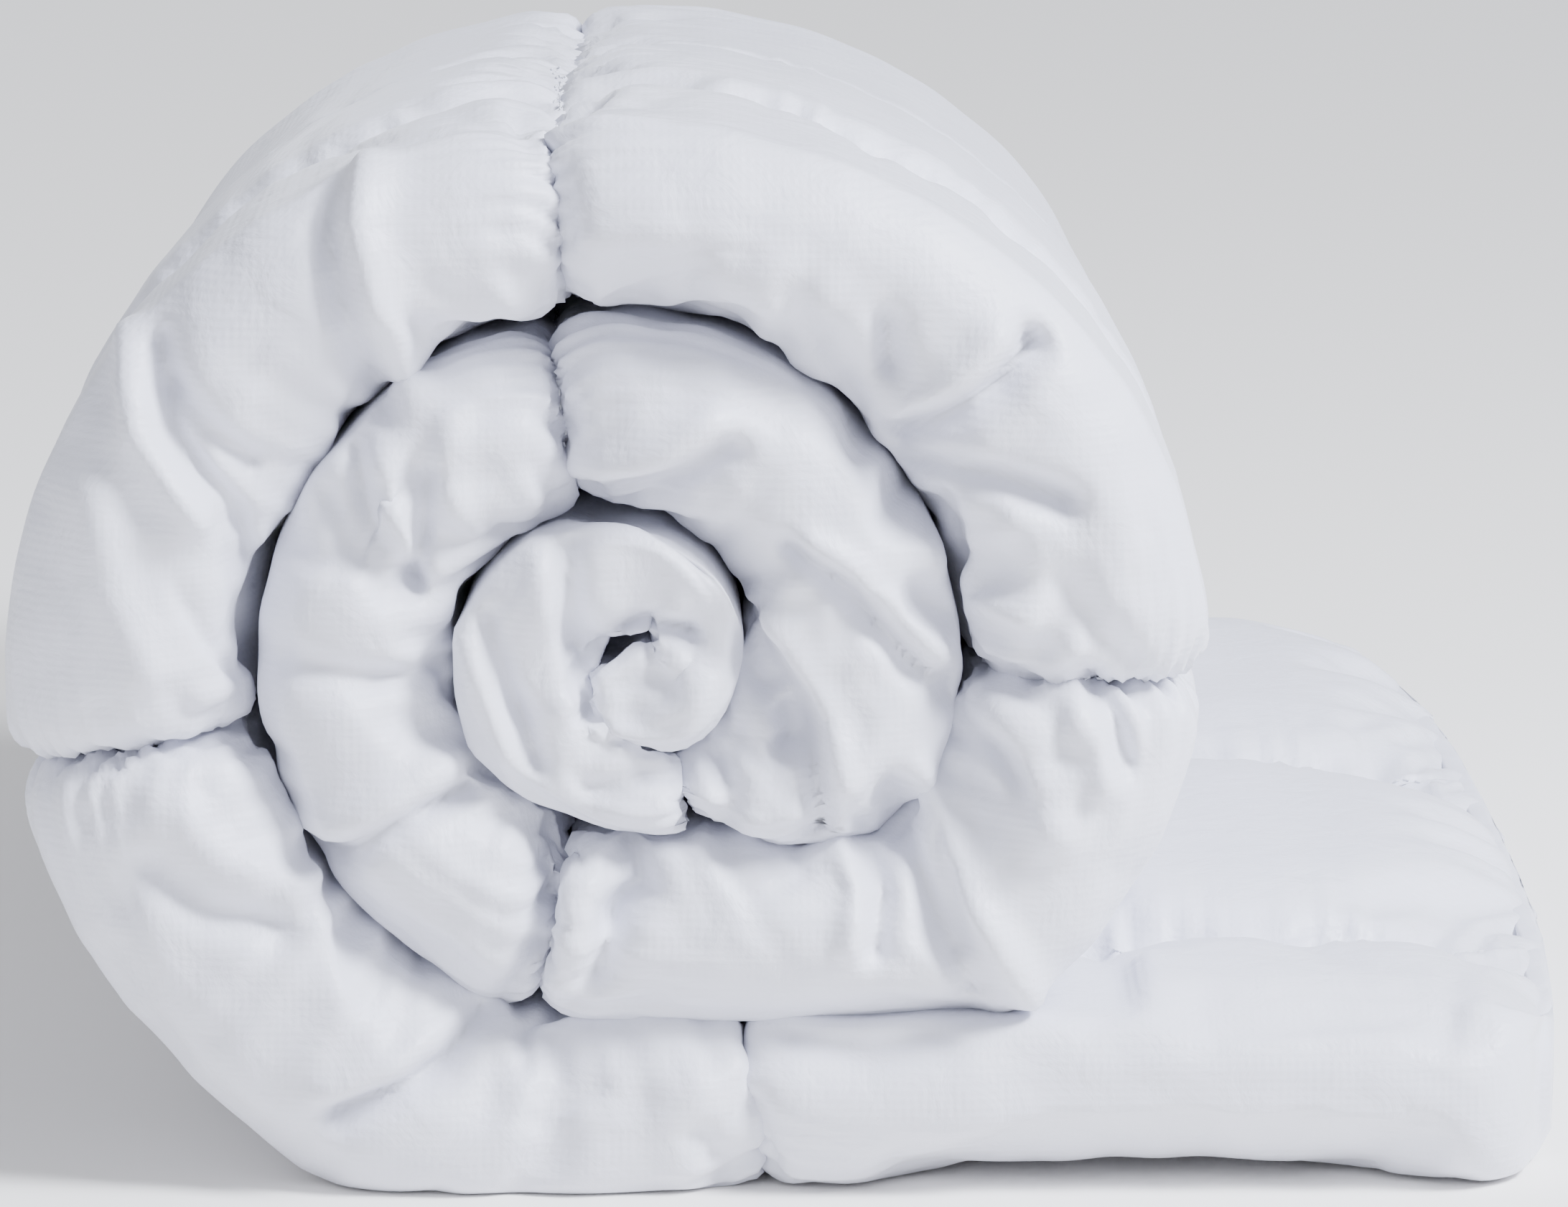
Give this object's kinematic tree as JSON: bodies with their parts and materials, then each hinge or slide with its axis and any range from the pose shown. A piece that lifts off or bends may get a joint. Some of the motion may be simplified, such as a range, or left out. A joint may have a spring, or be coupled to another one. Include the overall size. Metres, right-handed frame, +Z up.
{
  "type": "rolled duvet",
  "caption": "White quilted duvet, folded once lengthwise and rolled into a thick coil, with its free end lying flat on the surface beside the roll.",
  "frame": {"origin": "middle of the footprint, at the surface the duvet rests on", "axes": "+X along the free end that lies flat, +Y along the roll's axis away from the lengthwise fold, +Z up"},
  "size_m": [0.5163, 0.6761, 0.3527],
  "materials": {
    "cover_fabric": "satin-smooth white cotton shell",
    "lining_fabric": "white cotton shell, inner side",
    "filling": "matt hollowfibre batting",
    "thread": "white polyester thread",
    "label": "blank woven satin label"
  },
  "bodies": {
    "outer": {"lead_cover": "cover_fabric", "lead_lining": "lining_fabric", "lead_filling": "filling", "row2_cover": "cover_fabric", "row2_lining": "lining_fabric", "row2_filling": "filling", "row3_cover": "cover_fabric", "row3_lining": "lining_fabric", "row3_filling": "filling", "row4_cover": "cover_fabric", "row4_lining": "lining_fabric", "row4_filling": "filling", "row5_cover": "cover_fabric", "row5_lining": "lining_fabric", "row5_filling": "filling", "cross_seam1": "thread", "cross_seam2": "thread", "cross_seam3": "thread", "cross_seam4": "thread", "cross_seam5": "thread", "outer_side_binding": "cover_fabric", "outer_stitching": "thread"},
    "tail": {"tail_cover": "cover_fabric", "tail_lining": "lining_fabric", "tail_filling": "filling", "tail_side_binding": "cover_fabric", "free_end_binding": "cover_fabric", "tail_stitching": "thread", "label_bartack": "thread"},
    "coil": {"row6_cover": "cover_fabric", "row6_lining": "lining_fabric", "row6_filling": "filling", "row7_cover": "cover_fabric", "row7_lining": "lining_fabric", "row7_filling": "filling", "cross_seam6": "thread", "cross_seam7": "thread", "coil_side_binding": "cover_fabric", "coil_stitching": "thread"},
    "core": {"row8_cover": "cover_fabric", "row8_lining": "lining_fabric", "row8_filling": "filling", "core_side_binding": "cover_fabric", "core_end_binding": "cover_fabric", "core_stitching": "thread"},
    "label": {"care_label": "label"}
  },
  "joints": [
    {"name": "tail_lift", "type": "hinge", "parent": "outer", "child": "tail", "pos_m": [0.087, 0, 0.0586], "axis": [0, -1, 0], "range_deg": [0, 40]},
    {"name": "coil_slide", "type": "slide", "parent": "outer", "child": "coil", "axis": [0, -1, 0], "range_m": [-0.03, 0.05]},
    {"name": "core_slide", "type": "slide", "parent": "coil", "child": "core", "axis": [0, -1, 0], "range_m": [-0.03, 0.05]},
    {"name": "label_swing", "type": "hinge", "parent": "tail", "child": "label", "pos_m": [0.19, 0.3383, 0.0435], "axis": [1, 0, 0], "range_deg": [0, 100]}
  ],
  "couplings": [
    {"joint": "core_slide", "follows": "coil_slide", "ratio": 1}
  ]
}
